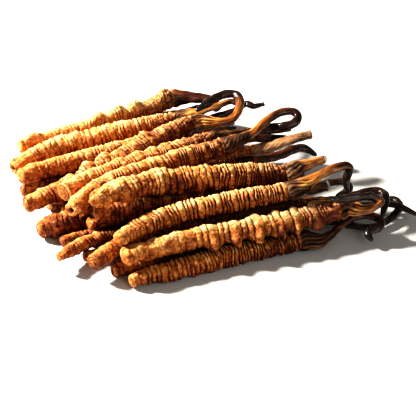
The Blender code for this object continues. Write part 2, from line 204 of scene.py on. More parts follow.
def profile_steps(profile, count):
    """Points at count even steps along an end's profile, without its first point."""
    profile = np.array(profile, dtype=float)
    at = np.linspace(0, len(profile) - 1, count + 1)[1:]
    return along_rows(profile, np.arange(len(profile), dtype=float), at)


# Rings of a solid

def rows_of(node, sides):
    """A solid's first pole, its rings as an array (rings, sides, 3) in millimetres, and its last pole."""
    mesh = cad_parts[node].data
    flat = np.zeros(len(mesh.vertices) * 3)
    mesh.vertices.foreach_get("co", flat)
    corners = flat.reshape(-1, 3) / MM
    keys, same = np.unique(np.round(corners, 3), axis=0, return_inverse=True)
    same = same.reshape(-1)
    near = [set() for _ in keys]
    for face in mesh.polygons:
        a, b, c = (int(same[v]) for v in face.vertices)
        near[a] |= {b, c}
        near[b] |= {a, c}
        near[c] |= {a, b}
    # a pole touches one whole ring, whose points touch it, two on their ring and two on the next
    poles = [k for k in range(len(keys))
             if len(near[k]) == sides and all(len(near[n]) == 5 for n in near[k])]
    start, stop = poles[0], poles[-1]
    row = [min(near[start])]
    while len(row) < sides:
        following = [n for n in sorted(near[row[-1]] & near[start]) if n not in row]
        row.append(following[0])
    rows = [row]
    used = {start, *row}
    while len(used) < len(keys) - 1:
        # the ends of each side share one corner of the next ring, which may go with either end
        ahead = []
        behind = []
        for k in range(sides):
            shared = (near[row[k]] & near[row[(k + 1) % sides]]) - used
            ahead.append(min(shared))
            shared = (near[row[k]] & near[row[k - 1]]) - used
            behind.append(min(shared))
        drift = [sum(np.linalg.norm(keys[new[k]] - keys[row[k]]) for k in range(sides))
                 for new in (ahead, behind)]
        row = ahead if drift[0] <= drift[1] else behind
        rows.append(row)
        used |= set(row)
    return keys[start], np.array([[keys[k] for k in loop] for loop in rows]), keys[stop]


def larva_rows(number):
    """A larva's rings from the tail to the head, and its pole at the head."""
    first, rows, last = rows_of(f"larva_{number:02d}", LARVA_SIDES)
    stalk_low, stalk_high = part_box(f"stalk_{number:02d}")
    stalk_middle = np.array((stalk_low + stalk_high) / 2) / MM
    if np.linalg.norm(first - stalk_middle) < np.linalg.norm(last - stalk_middle):
        return rows[::-1], first
    return rows, last


def stalk_rows(number, head_pole):
    """A stalk's rings from the head to the tip."""
    first, rows, last = rows_of(f"stalk_{number:02d}", STALK_SIDES)
    if np.linalg.norm(first - head_pole) > np.linalg.norm(last - head_pole):
        return rows[::-1]
    return rows


# Shade between neighbours

def beads_of(number):
    """Balls along a specimen's solids: centres and radii."""
    found = []
    for name, sides in ((f"larva_{number:02d}", LARVA_SIDES), (f"stalk_{number:02d}", STALK_SIDES)):
        rows = rows_of(name, sides)[1]
        middles = rows.mean(axis=1)
        reach = np.linalg.norm(rows - middles[:, None], axis=2).mean(axis=1)
        run = run_of(middles)
        at = np.linspace(0, run[-1], max(2, int(run[-1] / BEAD_STEP)))
        found.append(np.column_stack([along_rows(middles, run, at), np.interp(at, run, reach)]))
    return np.concatenate(found)


BEADS = {number: beads_of(number) for number in range(1, 28)}


def nearness(points, number):
    """How near the other specimens are to points (rows, around, 3): 1 where they touch, 0 in the open."""
    count, sides = points.shape[:2]
    others = np.concatenate([BEADS[k] for k in BEADS if k != number])
    rows = np.unique(np.append(np.arange(0, count, SHADE_STRIDE), count - 1))
    columns = np.arange(0, sides, SHADE_STRIDE)
    close = []
    for row in points[rows][:, columns]:
        gap = np.linalg.norm(row[:, None] - others[None, :, :3], axis=2) - others[:, 3]
        close.append(np.clip(1 - gap.min(axis=1) / SHADE_REACH, 0, 1))
    full = np.array([np.interp(np.arange(count), rows, column) for column in np.array(close).T]).T
    wrapped = np.append(columns, sides)
    return np.array([np.interp(np.arange(sides), wrapped, np.append(row, row[0])) for row in full])


# Skins

def closed_mesh(name, first, grid, last, values):
    """A closed skin over a grid (rows, around, 3) with a pole at either end, in millimetres."""
    rows, sides = grid.shape[:2]
    points = np.concatenate([first[None], grid.reshape(-1, 3), last[None]]) * MM
    index = 1 + np.arange(rows * sides).reshape(rows, sides)
    right = np.roll(index, -1, axis=1)
    quads = np.stack([index[:-1], index[1:], right[1:], right[:-1]], axis=-1).reshape(-1, 4)
    tail = np.stack([np.zeros(sides, int), index[0], right[0]], axis=-1)
    head = np.stack([np.full(sides, len(points) - 1), right[-1], index[-1]], axis=-1)
    faces = [tuple(face) for part in (tail, quads, head) for face in part.tolist()]
    mesh = bpy.data.meshes.new(name)
    mesh.from_pydata(points.tolist(), [], faces)
    for key, value in values.items():
        layer = mesh.attributes.new(key, "FLOAT", "POINT")
        spread = np.concatenate([[value[0].mean()], value.reshape(-1), [value[-1].mean()]])
        layer.data.foreach_set("value", spread.astype(np.float32))
    mesh.shade_smooth()
    piece = bpy.data.objects.new(name, mesh)
    bpy.context.scene.collection.objects.link(piece)
    return piece


def stand_for(piece, node, material):
    """Puts a skin in its solid's place."""
    piece.data.materials.append(material)
    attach(piece, "root")
    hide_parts(node)


# Ends of a larva: (distance out, share of the radius), in end radii
TAILS = {
    "blunt": [(0, 1), (0.3, 0.97), (0.55, 0.84), (0.72, 0.6), (0.8, 0.32), (0.82, 0)],
    "hole": [(0, 1), (0.35, 1.0), (0.64, 0.9), (0.8, 0.7), (0.78, 0.48), (0.5, 0.32),
             (0.15, 0.22), (0.05, 0)],
    "nose": [(0, 1), (0.3, 0.93), (0.5, 0.74), (0.6, 0.46), (0.8, 0.32), (0.98, 0.2), (1.02, 0)],
    "knob": [(0, 0.93), (0.2, 1.03), (0.5, 1.0), (0.75, 0.76), (0.87, 0.42), (0.9, 0)],
    "rings": [(0, 1.02), (0.16, 1.05), (0.3, 0.95), (0.36, 0.86), (0.31, 0.79), (0.4, 0.7), (0.48, 0.6),
              (0.43, 0.52), (0.52, 0.42), (0.6, 0.3), (0.56, 0.2), (0.62, 0)],
}
GROOVES = ((4.0, 0.75, 0.7), (7.0, 0.75, 0.7), (10.0, 0.6, 0.6))  # on "rings": place, darkness, width
HEAD = [(0, 1), (0.12, 0.95), (0.24, 0.82), (0.32, 0.62), (0.36, 0.34), (0.37, 0)]


@dataclass
class Larva:
    """How one larva's skin differs from the others'."""
    tail: str = "blunt"
    tone: float = 0.5         # from dark brown to bright gold
    red: float = 0.3          # reddish at the head
    warts: float = 0.3        # how lumpy all over
    depth: float = 1.0        # of the folds
    granular: float = 0.9     # share of the length where the head's grains begin
    fine: bool = True         # seen, and so a dense skin
    legs: float = 0.5         # how far the shrunken legs stand out
    smooth: float = 0.16      # share of the length, from the tail, with shallow folds
    dark: float = 0.6         # how brown the head is
    fat: float = 0.12         # how much thicker than the solid the tail's end is
    lobes: float = 1.0        # the lobes' height over the solid's
    bumps: tuple = ()         # (share of the length, degrees from the top to the right, height, reach)
    narrow: tuple = (2, 3, 3)  # how many narrow folds lie between two wide ones
    skirts: tuple = ()        # (share of the length, height): ridges that end in a leg on either flank
    painted_shade: float = 0.0        # painted shade: how much darker it is made away from its tail
    painted_highlight: float = 0.1        # painted highlight: how much paler its upper side is towards the head
    wide: float = 0.46        # share of a segment that its wide ring takes


LARVAE = {
    1: Larva("hole", 0.1, 0.3, 0.4, 1.0, fine=False, painted_shade=0.75),
    2: Larva("blunt", 0.5, 0.3, 0.25, 1.6, smooth=0.12, dark=0.8, narrow=(3, 4, 4), fat=-0.05,
             granular=1.1, wide=0.28),
    3: Larva("blunt", 0.2, 0.3, 0.3, 1.0, fine=False, painted_shade=0.3),
    4: Larva("knob", 0.3, 0.2, 0.4, 0.9, fine=False, painted_shade=0.3),
    5: Larva("blunt", 0.05, 0.3, 0.7, 0.9, fine=False, painted_shade=0.4),
    6: Larva("blunt", 0.0, 0.3, 0.6, 0.9, bumps=((0.08, -20, 0.35, 1.6), (0.3, 10, -0.3, 1.5)), painted_shade=0.2),
    7: Larva(tone=0.2, fine=False, painted_shade=0.3),
    8: Larva(tone=0.2, fine=False, painted_shade=0.3),
    9: Larva(tone=0.2, fine=False, painted_shade=0.2),
    10: Larva("knob", tone=0.3, fine=False, painted_shade=0.1),
    11: Larva(tone=0.35, fine=False),
    12: Larva(tone=0.4, fine=False),
    13: Larva("hole", tone=0.4, fine=False),
    14: Larva("blunt", 0.12, 0.4, 0.3, 1.1, dark=0.9, painted_shade=0.35),
    15: Larva("blunt", 0.65, 0.7, 0.4, 0.9, dark=0.2),
    16: Larva(tone=0.3, fine=False, painted_shade=0.3),
    17: Larva("blunt", 0.5, 0.2, 0.1, 0.5, smooth=0.3, fat=0.3, painted_highlight=0.3),
    18: Larva("hole", 0.66, 0.3, 0.3, 0.7, dark=0.3, painted_highlight=0.3),
    19: Larva("knob", 0.78, 0.4, 0.2, 0.45, dark=0.3, painted_highlight=0.3, bumps=((0.93, 0, 0.5, 2.2),)),
    20: Larva("rings", 0.24, 0.5, 0.3, 1.1, smooth=0.24, fat=0.35, dark=0.9, painted_shade=0.45, wide=0.34),
    21: Larva("knob", 0.62, 0.9, 0.6, 0.75, painted_highlight=0.45, legs=0.2, smooth=0.4, lobes=1.2, narrow=(1, 2),
              fat=0.25,
              bumps=((0.03, 60, 0.45, 1.3), (0.11, 20, -0.3, 1.1), (0.17, 80, 0.35, 1.6),
                     (0.03, -60, 0.3, 1.2)),
              skirts=((0.24, 0.5), (0.39, 1.0), (0.5, 1.1), (0.605, 1.1), (0.71, 1.0), (0.78, 0.6),
                      (0.84, 0.6), (0.89, 0.6), (0.935, 0.4))),
    22: Larva("rings", 0.3, 0.4, 0.3, 1.0, smooth=0.12, painted_shade=0.35),
    23: Larva("rings", 0.5, 0.4, 0.6, 1.0),
    24: Larva("rings", 0.62, 0.8, 0.4, 0.9, granular=0.86),
    25: Larva("nose", 0.5, 0.5, 0.9, 1.1, granular=0.95, smooth=0.4, fat=-0.1, dark=0.8, painted_highlight=0.3,
              wide=0.36,
              bumps=((0.1, 80, 0.4, 2.0), (0.2, 20, -0.25, 1.6), (0.27, 60, 0.4, 1.8),
                     (0.37, -20, 0.3, 1.8))),
    26: Larva("blunt", 0.66, 0.2, 0.2, 1.3, smooth=0.14, dark=0.5, granular=1.1, painted_highlight=0.25, wide=0.42),
    27: Larva("hole", 0.6, 0.4, 0.5, 1.3, granular=0.88, smooth=0.2, bumps=((0.62, 20, -0.35, 1.8),)),
}


def outlines(rings, axis, along, left, above, angle):
    """Each ring's reach from the axis at angles from the top to the right, with its folds filled up."""
    found = []
    for k, ring in enumerate(rings):
        offset = ring - axis[k]
        seen = np.arctan2(-(offset @ left[k]), offset @ above[k])
        reach = np.linalg.norm(offset - np.outer(offset @ along[k], along[k]), axis=1)
        if k % 2 == 0:
            reach = reach / FOLD_SHARE
        found.append(around(seen, reach, angle))
    return np.array(found)


def fold_edges(length, segments, seed, counts, wide_share):
    """Where the creases lie, and which folds are the wide rings: one to a segment, narrow folds between."""
    rng = np.random.default_rng(seed)
    even = np.arange(segments + 1) / segments
    bounds = length * even * (1 + SHORTENING * (1 - even))
    edges = [-OVERRUN]
    wides = [False]
    for k in range(segments):
        pitch = bounds[k + 1] - bounds[k]
        first = bounds[k] + pitch * (0.5 - wide_share / 2 + rng.uniform(-0.05, 0.05))
        last = bounds[k] + pitch * (0.5 + wide_share / 2 + rng.uniform(-0.05, 0.05))
        narrow = 1
        if k:
            narrow = int(rng.choice(counts)) + (k > EXTRA_FOLD_FROM * segments)
        for j in range(1, narrow):
            edges.append(edges[-1] + (first - edges[-1]) / (narrow - j + 1) * rng.uniform(0.82, 1.15))
            wides.append(False)
        edges.extend([first, last])
        wides.extend([True, False])
    edges.append(length + OVERRUN)
    return edges, wides


def stations_of(edges, wides, seed, wide_rows, narrow_rows):
    """The skin's rows, dense beside each crease, as six arrays: place along the body, place in
    the fold from -1 to 1, 1 in a wide ring and else 0, strength, number and half length of the fold."""
    rng = np.random.default_rng(seed)
    rows = []
    for k in range(len(edges) - 1):
        steps = wide_rows if wides[k] else narrow_rows
        dome = np.sin(np.linspace(-1, 1, steps + 1) * math.pi / 2)[:-1]
        half = (edges[k + 1] - edges[k]) / 2
        same = np.tile([float(wides[k]), rng.uniform(0.8, 1.2), k, half], (steps, 1))
        rows.append(np.column_stack([(edges[k] + edges[k + 1]) / 2 + dome * half, dome, same]))
    rows = np.concatenate(rows)
    return rows[rows[:, 0] > 0.0].T


def leg_pads(angle, dome, wide):
    """A small pad under either flank of each wide ring, 0 to 1."""
    pads = 0.0
    for side in (1, -1):
        apart = np.abs(wrap(angle - side * LEG_ANGLE))
        pads = pads + np.exp(-(apart / 0.3) ** 2)[None, :] * (1 - np.abs(dome[:, None]) ** 2) * wide[:, None]
    return pads


def end_cap(profile, end, outward, spokes, base, count, seed):
    """Rings that close a larva's end along a profile, how high their skin is, and the last point."""
    shape = profile_steps(profile, count)
    angle = np.arange(len(base)) * TURN / len(base)
    radius = np.median(base)
    rings, tall = [], []
    for k, (outness, narrow) in enumerate(shape):
        narrow = max(narrow, 0.0)
        x = outness * radius + CAP_NOISE_FROM
        place = coordinates(x, narrow * radius * np.cos(angle), narrow * radius * np.sin(angle))
        bump = 0.1 * swell(place, 0.9, seed) + 0.05 * swell(place, 0.4, seed + 1)
        reach = base * narrow + bump * min(1.0, narrow * 2)
        rings.append(end + outward * outness * radius + spokes * reach[:, None])
        tall.append(np.clip(0.55 + bump * 2.5 - (0 if k else 0.25), 0, 1))
    return np.array(rings), np.array(tall), end + outward * shape[-1][0] * radius


def tail_pits(kind, count, sides):
    """How much painted shade the rings of a tail's end get: in its hole, or in the grooves between its
    rings.
    """
    share = np.arange(count) / (count - 1)
    dark = np.zeros(count)
    if kind == "hole":
        dark = np.clip((share - 0.55) / 0.3, 0, 1)
    elif kind == "rings":
        dark = sum(depth * np.exp(-((share * 11 - at) / width) ** 2) for at, depth, width in GROOVES)
    return np.repeat(dark[:, None], sides, axis=1)


def larva_skin(number):
    """Makes one larva's skin, and returns the solid's pole at its head."""
    look = LARVAE[number]
    name = f"larva_{number:02d}"
    seed = 100 + number * 13
    sides, wide_rows, narrow_rows, tail_count, head_count = FINE_LARVA if look.fine else PLAIN_LARVA

    # the solid's axis and outline
    rows, head_pole = larva_rows(number)
    rings = rows[1:-1]
    centres = rings.mean(axis=1)
    axis = centres.copy()
    axis[1:-1] = (centres[:-2] + 2 * centres[1:-1] + centres[2:]) / 4
    run = run_of(axis)
    length = run[-1]
    angle = np.arange(sides) * TURN / sides
    cos, sin = np.cos(angle), np.sin(angle)
    along = unit(np.gradient(axis, run, axis=0))
    left = unit(np.cross(UP, along))
    outline = outlines(rings, axis, along, left, np.cross(along, left), angle)

    # the folds
    segments = len(rings) // 2
    if length / segments > LONGEST_PITCH:
        segments = round(length / PITCH)
    edges, wides = fold_edges(length, segments, seed, look.narrow, look.wide)
    station, dome, wide, strength, fold, half = stations_of(edges, wides, seed, wide_rows, narrow_rows)
    share = station / length
    granular = np.clip((share - look.granular + 0.08) / 0.16, 0, 1)
    tailward = np.clip(1.3 * (1 - share / look.smooth), 0, 1)
    from_crease = (1 - np.abs(dome)) * half
    hump = 0.5 * (1 - (1 - np.abs(dome) ** 2.4) ** 0.5) + 0.5 * np.exp(-from_crease / 0.11)
    depth = np.where(wide > 0.5, WIDE_DEPTH, NARROW_DEPTH) * strength * look.depth
    depth = depth * (1 - 0.45 * granular) * (1 - 0.8 * tailward)

    # each crease wanders, and the noise rides with the body
    mean = np.interp(station, run, np.median(outline, axis=1))[:, None]
    place = coordinates(station[:, None], mean * cos, mean * sin)
    shift = 0.34 * swell(place * [0.35, 0.7, 0.7], 1.6, seed + 1) + 0.15 * swell(place, 1.1, seed + 2)
    at = station[:, None] + shift
    place = coordinates(at, mean * cos, mean * sin)
    vary = noise(place * [0.5, 1, 1], 1.9, seed + 3)
    vary = 0.5 + 0.75 * vary * vary * (3 - 2 * vary)
    own = coordinates(fold[:, None] * 7.3, 1.3 * cos, 1.3 * sin)
    own_height = 0.2 * swell(own, 1.0, seed + 14) * (1 - np.abs(dome[:, None]) ** 4)

    # the solid's radius, with rounder lobes
    radius = along_rows(outline, run, station)
    above_mean = np.clip(radius - mean - LEAST_LOBE, 0, None)
    tallest = max(above_mean.max(), 0.3)
    rounded = tallest * np.tanh(1.9 * above_mean / tallest)
    thicker = 1 + look.fat * np.clip(1 - station / 6.0, 0, 1)[:, None]
    radius = (radius - above_mean) * thicker + rounded * look.lobes
    lobe = np.clip(above_mean / 0.6, 0, 1)

    # relief
    rise = -NARROW_RISE * (1 - wide)
    drop = depth[:, None] * hump[:, None] * vary + rise[:, None] * (1 - granular[:, None])
    lumps = (0.2 + 0.16 * tailward[:, None]) * swell(place, 2.4, seed + 4)
    lumps = lumps + 0.05 * swell(place, 1.0, seed + 5)
    fine = 0.07 * swell(place * [1, 0.3, 0.3], 0.4, seed + 6) + 0.10 * swell(place, 0.5, seed + 8)
    beads = grains(place, 0.85, seed + 9) - 0.6
    warts = grains(place, 1.25, seed + 10) - 0.6
    relief = lumps * (0.6 + look.warts) + fine - drop + own_height
    relief += beads * 0.5 * granular[:, None]
    relief += warts * (0.1 + 0.35 * look.warts * noise(place, 4.0, seed + 11) + 0.45 * lobe)
    shown = relief.copy()
    for where, degrees, tall, reach in look.bumps:
        spot = np.array([where * length, 0.0, 0.0])
        r = np.interp(where * length, run, np.median(outline, axis=1))
        spot[1:] = r * math.cos(math.radians(degrees)), r * math.sin(math.radians(degrees))
        relief += tall * np.exp(-((place - spot) ** 2).sum(axis=-1) / reach ** 2)
    pads = leg_pads(angle, dome, wide)
    relief += LEG_HEIGHT * look.legs * pads * (0.6 + 0.6 * noise(place, 3.0, seed + 12))
    flank = np.exp(-((np.abs(wrap(angle)) - 1.75) / 0.5) ** 2)
    for where, tall in look.skirts:
        past = at - where * length
        ridge = np.exp(-(past / 0.55) ** 2) + 0.3 * np.exp(-((past + 1.2) / 0.8) ** 2)
        relief += tall * ridge * (0.12 + 0.88 * flank[None, :])
    radius = radius + relief

    # the body's points
    inside = np.clip(at, 0, length)
    centre = along_rows(axis, run, inside.reshape(-1)).reshape(at.shape + (3,))
    forward = unit(along_rows(along, run, station))
    leftward = unit(np.cross(UP, forward))
    upward = np.cross(forward, leftward)
    centre = centre + (at - inside)[..., None] * forward[:, None]
    out = -leftward[:, None] * sin[None, :, None] + upward[:, None] * cos[None, :, None]
    body = centre + out * radius[..., None]
    tail_grid, tail_tall, tail_point = end_cap(TAILS[look.tail], centre[0].mean(axis=0), -forward[0], out[0],
                                               radius[0], tail_count, seed + 20)
    head_grid, head_tall, head_point = end_cap(HEAD, centre[-1].mean(axis=0), forward[-1], out[-1],
                                               radius[-1], head_count, seed + 24)
    grid = np.concatenate([tail_grid[::-1], body, head_grid])
    grid[..., 2] = np.maximum(grid[..., 2], 0.0)
    excess = np.maximum(grid[..., 2] - CEILING, 0.0)
    grid[..., 2] += CEILING_GIVE * (1 - np.exp(-excess / CEILING_GIVE)) - excess

    # what the material reads
    # crease: where painted shade goes, in the creases and between the grains near the head
    crease_width = np.minimum(0.05 + 0.08 * vary, 0.36 * half[:, None])
    crease = np.exp(-(from_crease[:, None] / crease_width) ** 2) * np.clip(vary * 1.2 - 0.2, 0, 1)
    crease *= (1 - 0.3 * granular[:, None]) * (1 - 0.75 * tailward[:, None])
    crease *= min(1.0, 0.25 + 0.8 * look.depth)
    crease = np.clip(crease + np.clip(-0.1 - beads, 0, 1) * 2.5 * granular[:, None], 0, 1)
    # painted light: the side turned up and to the left is paler and the lower right flank darker; raised
    # skin is paler, partly its own colour and partly painted highlight
    painted_light = np.cos(angle + math.radians(35))[None, :]
    height = np.clip(0.5 + (shown - 0.5 * lumps + 0.55 * drop) / 1.3 + 0.22 * painted_light, 0, 1)
    # painted shade: darker on the lower flank, near the floor, where neighbours come close, and on hidden
    # larvae away from the tail
    under = np.clip((np.abs(wrap(angle - 0.15)) - 1.45) / 1.1, 0, 1)
    upper = np.clip(1.6 * np.cos(angle + 0.2) - 0.6, 0, 1)
    low = np.clip(1 - grid[..., 2] / 1.4, 0, 1)
    away = np.concatenate([np.zeros(tail_count), np.clip(share * 4 - 0.4, 0, 1), np.ones(head_count)])
    shade = nearness(grid, number) + 0.35 * under[None, :] + 0.5 * low + look.painted_shade * away[:, None]
    pits = tail_pits(look.tail, tail_count, sides)
    values = {
        "shade": np.clip(shade, 0, 1),
        "crease": np.concatenate([pits[::-1], crease, np.full((head_count, sides), 0.35)]),
        "height": np.concatenate([tail_tall[::-1], height, head_tall]),
        "along": np.concatenate([np.zeros((tail_count, sides)), np.repeat(share[:, None], sides, axis=1),
                                 np.ones((head_count, sides))]),
        # tone: the larva's own tone, plus painted highlight on its upper side towards the head
        "tone": look.tone + look.painted_highlight * np.clip(away - 0.2, 0, 1)[:, None] * upper[None, :],
        "red": np.full((len(grid), sides), look.red),
        "dark": np.full((len(grid), sides), look.dark),
    }
    piece = closed_mesh(f"{name}_skin", tail_point, grid, head_point, values)
    stand_for(piece, name, LARVA_MATERIAL)
    return head_pole


@dataclass
class Stalk:
    """How one stalk differs from the others."""
    tip: str = "taper"
    brown: float = 0.12       # share of the length that is matte brown at the root
    orange: float = 0.15      # share of the length where the amber ends
    fibre: float = 0.5        # how frayed the root is
    fine: bool = True         # seen, and so a dense skin
    rust: float = 0.3         # how reddish brown its dark part is
    tan: float = 0.0          # how pale brown all of it is


STALKS = {
    1: Stalk(brown=0.05, orange=0.1, rust=0.1),
    2: Stalk(brown=0.3, orange=0.3, fibre=1.0, rust=0.7),
    3: Stalk(brown=0.05, orange=0.1, rust=0.1),
    4: Stalk(fine=False),
    5: Stalk(fine=False),
    6: Stalk(brown=0.2, orange=0.3),
    7: Stalk(fine=False),
    8: Stalk(fine=False),
    9: Stalk(fine=False),
    10: Stalk(brown=0.1, orange=0.15, rust=0.8),
    11: Stalk(brown=0.1, orange=0.15, rust=0.6),
    12: Stalk(brown=0.1, orange=0.15, rust=0.6),
    13: Stalk(fine=False),
    14: Stalk(brown=0.25, orange=0.2, rust=0.7),
    15: Stalk("blunt", brown=0.5, orange=0.6, fibre=1.0, rust=1.0, tan=0.75),
    16: Stalk(brown=0.2, orange=0.3, rust=1.0),
    17: Stalk("knob", brown=0.1, orange=0.12, rust=0.2),
    18: Stalk(brown=0.1, orange=0.45, fibre=0.7),
    19: Stalk("blunt", brown=0.1, orange=0.15, rust=0.9),
    20: Stalk(brown=0.05, orange=0.12, rust=0.2),
    21: Stalk(brown=0.18, orange=0.5, fibre=0.7, rust=0.3),
    22: Stalk("cut", brown=0.9, orange=0.95, fibre=0.8, tan=0.2),
    23: Stalk(brown=0.12, orange=0.44, fibre=0.6, rust=0.3),
    24: Stalk(brown=0.2, orange=0.3, rust=0.9),
    25: Stalk("white", brown=0.5, orange=1.1, fibre=1.0, rust=1.0, tan=0.15),
    26: Stalk(brown=0.24, orange=0.56, fibre=1.0, rust=0.4),
    27: Stalk(brown=0.2, orange=0.5, fibre=0.9, rust=0.7),
}
# Ends of a stalk: (distance out, share of the radius), in end radii
TIPS = {
    "taper": [(0, 1), (0.5, 0.85), (0.9, 0.55), (1.05, 0.25), (1.08, 0)],
    "blunt": [(0, 1), (0.25, 1.02), (0.5, 0.85), (0.62, 0.5), (0.6, 0)],
    "knob": [(0, 1), (0.3, 1.25), (0.7, 1.3), (1.0, 0.9), (1.1, 0.4), (1.1, 0)],
    "cut": [(0, 1), (0.2, 1.08), (0.34, 1.0), (0.36, 0.8), (0.28, 0.6), (0.26, 0.3), (0.28, 0)],
    "white": [(0, 1), (0.3, 0.98), (0.42, 0.86), (0.44, 0.6), (0.42, 0.3), (0.42, 0)],
}
TAPERING = ("taper", "knob")
CUT_PALENESS = {"white": 1.0, "cut": 0.45}  # of the inside that a cut shows


def ring_widths(rows, centres):
    """The wide direction of each of a stalk's rings, and half its width."""
    lefts, radii = [], []
    for ring, centre in zip(rows, centres):
        offset = ring - centre
        values, vectors = np.linalg.eigh(offset.T @ offset / STALK_SIDES)
        side = vectors[:, 2]
        if lefts and side @ lefts[-1] < 0:
            side = -side
        lefts.append(side)
        radii.append(math.sqrt(2 * values[2]))
    return np.array(lefts), np.array(radii)


def stalk_tip(kind, end, outward, spokes, radius, reach, count):
    """Rings that close a stalk's tip, and the last point."""
    shape = profile_steps(TIPS[kind], count)
    rings = np.array([end + outward * outness * radius + spokes * (max(narrow, 0) * reach)[:, None]
                      for outness, narrow in shape])
    if kind in CUT_PALENESS:
        slope = CUT_FACES - outward * (CUT_FACES @ outward)
        slant = np.clip((rings - end) @ slope, -1.6, 1.6)[..., None]
        rings -= outward * slant * np.minimum(shape[:, :1, None], CUT_ONSET) / CUT_ONSET
    return rings, end + outward * shape[-1][0] * radius


def stalk_skin(number, head_pole):
    """Makes one stalk's skin."""
    look = STALKS[number]
    name = f"stalk_{number:02d}"
    seed = 900 + number * 17
    sides, step, tip_count = FINE_STALK if look.fine else PLAIN_STALK

    # the solid's line and girth, with the root led back into the head
    rows = stalk_rows(number, head_pole)
    centres = rows.mean(axis=1)
    lefts, radii = ring_widths(rows, centres)
    backward = -unit(centres[1] - centres[0])
    centres = np.concatenate([[centres[0] + backward * ROOT_BURIED], centres])
    lefts = np.concatenate([lefts[:1], lefts])
    radii = np.concatenate([radii[:1] * 0.9, radii])
    run = run_of(centres)
    length = run[-1]
    count = int(length / step)
    station = np.linspace(0, length, count)
    share = station / length
    angle = np.arange(sides) * TURN / sides
    cos, sin = np.cos(angle), np.sin(angle)
    line = along_rows(centres, run, station)
    left = along_rows(lefts, run, station)
    radius = along_rows(radii, run, station)
    along = unit(np.gradient(line, station, axis=0))
    left = unit(left - along * (left * along).sum(axis=1)[:, None])
    above = np.cross(along, left)
    if look.tip not in TAPERING:
        to_tip = np.clip(1 - (length - station) / TIP_TAPER_LENGTH, 0, 1)
        radius = radius / (1 - TIP_TAPER * to_tip ** 2) ** 0.9
    root = np.clip(1 - (station - ROOT_BURIED) / ROOT_LENGTH, 0, 1)
    radius = radius * (1 + 0.55 * root * (1 - 0.6 * root ** 2) * look.fibre)

    # relief: twisted wrinkles, knots, and at the root frayed strands
    place = coordinates(station[:, None], cos, sin)
    twist = 0.22 * station[:, None] + 1.5 * swell(place * [0.12, 0, 0], 1.0, seed) + angle[None, :]
    wrinkle = 0.5 * np.cos(5 * twist + 2.0 * swell(place * [0.25, 0.5, 0.5], 1.0, seed + 1))
    wrinkle += 0.35 * np.cos(9 * twist + 3.0 * swell(place * [0.3, 0.6, 0.6], 1.0, seed + 2))
    furrow = -np.abs(wrinkle) ** 0.8 + 0.5
    fray = swell(place * [0.22, 3.2, 3.2], 1.0, seed + 3)
    knots = swell(place * [0.45, 0.7, 0.7], 1.0, seed + 4)
    ridges = 0.085 * furrow + 0.07 * knots
    sway = 1.5 * swell(place * [0.1, 0.9, 0.9], 1.0, seed + 8)
    strands = np.abs(np.cos(6.5 * twist + sway)) ** 0.7 - 0.62
    frayed = np.minimum(root * 1.6, 1)[:, None] * (0.5 + 0.5 * look.fibre)
    ridges += (0.08 * fray + 0.24 * strands) * frayed
    flatness = 0.8 + 0.1 * swell(place * [0.15, 0, 0], 1.0, seed + 5)
    reach = radius[:, None] * (1 + ridges) * (1 - 0.04 * np.cos(station[:, None] * 2.1))
    out = -left[:, None] * sin[None, :, None] + above[:, None] * (cos[None, :, None] * flatness[..., None])
    body = line[:, None] + out * reach[..., None]
    tip, end = stalk_tip(look.tip, line[-1], along[-1], out[-1], radius[-1], reach[-1], tip_count)
    grid = np.concatenate([body, tip])
    grid[..., 2] = np.maximum(grid[..., 2], 0.0)

    # what the material reads
    ones = np.ones((tip_count, sides))
    inside = np.clip((np.arange(tip_count) / (tip_count - 1) - 0.25) / 0.2, 0, 1)[:, None]
    fading = np.clip((0.95 - share) / 0.35, 0, 1) if look.tip in TAPERING else np.ones(count)
    rust = np.repeat(look.rust * fading[:, None], sides, axis=1)
    wander = 0.12 * swell(place * [0.3, 1.2, 1.2], 1.0, seed + 6)
    brown = np.clip((look.brown - share[:, None] - wander) / 0.1 + 0.5, 0, 1)
    amber = np.clip((look.orange - share[:, None] - 1.3 * wander) / 0.22 + 0.5, 0, 1)
    # painted shade: darker near the floor and where neighbours come close
    low = np.clip(1 - grid[..., 2] / 1.2, 0, 1)
    values = {
        "shade": np.clip(nearness(grid, number) + 0.5 * low, 0, 1),
        "brown": np.concatenate([brown, ones * brown[-1]]),
        "amber": np.concatenate([amber, ones * amber[-1]]),
        "ridge": np.concatenate([np.clip(0.5 + ridges * 3.2, 0, 1), ones * 0.5]),
        "pale": np.concatenate([np.zeros((count, sides)), ones * inside * CUT_PALENESS.get(look.tip, 0.0)]),
        "streak": np.concatenate([0.5 + 0.5 * fray + 0.4 * strands * frayed, ones * 0.5]),
        "rust": np.concatenate([rust, ones * rust[-1]]),
        "tan": np.full((count + tip_count, sides), look.tan),
    }
    piece = closed_mesh(f"{name}_skin", line[0] - along[0] * 0.1, grid, end, values)
    stand_for(piece, name, STALK_MATERIAL)


# Materials

